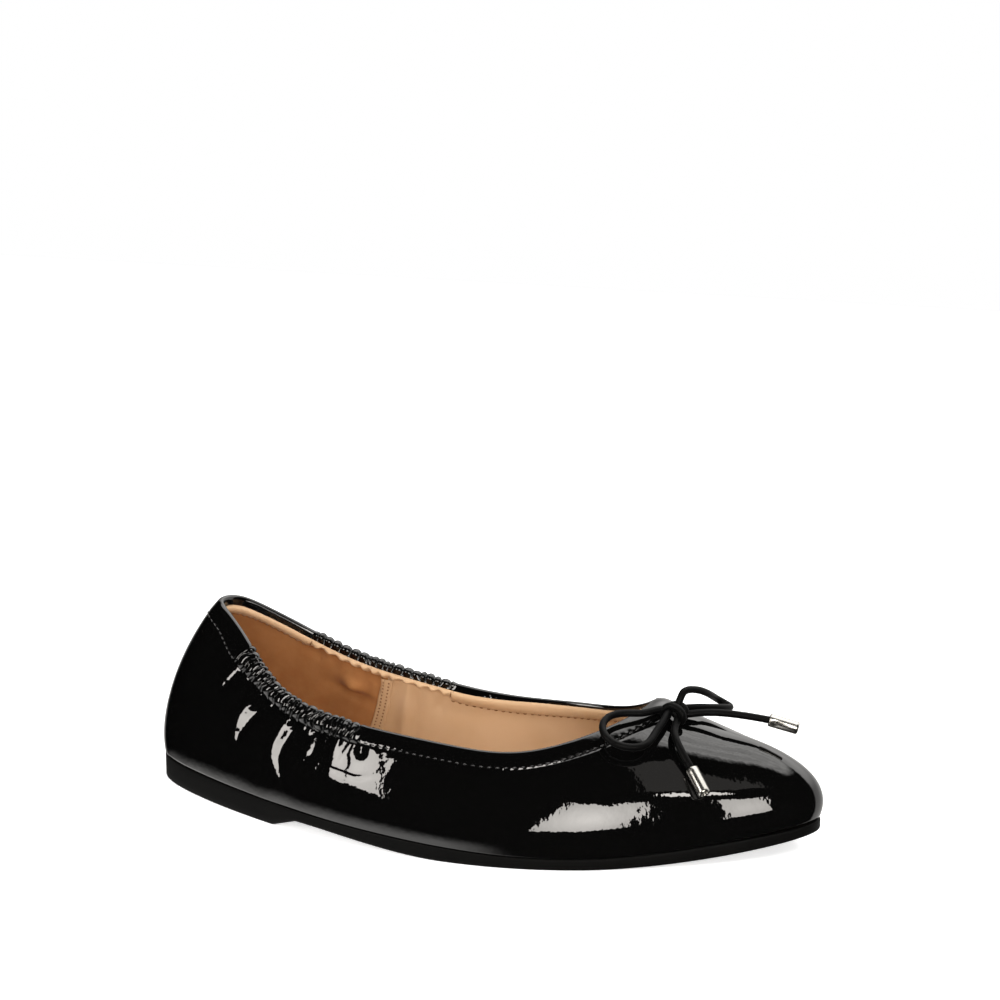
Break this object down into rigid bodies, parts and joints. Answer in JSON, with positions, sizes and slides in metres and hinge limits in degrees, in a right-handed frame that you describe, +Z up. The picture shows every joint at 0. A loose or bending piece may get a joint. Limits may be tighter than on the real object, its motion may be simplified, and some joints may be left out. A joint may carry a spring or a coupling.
{
  "type": "flat shoe",
  "caption": "Low-heeled ballet flat for the right foot with a glossy leather upper, elastic topline, rubber sole and a thin cord bow.",
  "frame": {"origin": "on the ground under the middle of the shoe's box", "axes": "+X along the shoe toward the toe, +Y toward its medial side, +Z up"},
  "size_m": [0.2372, 0.0868, 0.0654],
  "materials": {
    "outsole": "matt moulded black rubber",
    "upper": "high gloss black patent leather",
    "insole": "smooth tan lining leather",
    "cord": "matt black round cord",
    "tip": "polished metal"
  },
  "bodies": {
    "root": {"outsole": "outsole", "upper": "upper", "insole": "insole", "bow_knot": "cord", "bow_loop_near": "cord", "bow_loop_far": "cord", "bow_end_near": "cord", "bow_end_far": "cord", "tip_near": "tip", "tip_far": "tip"}
  },
  "joints": []
}
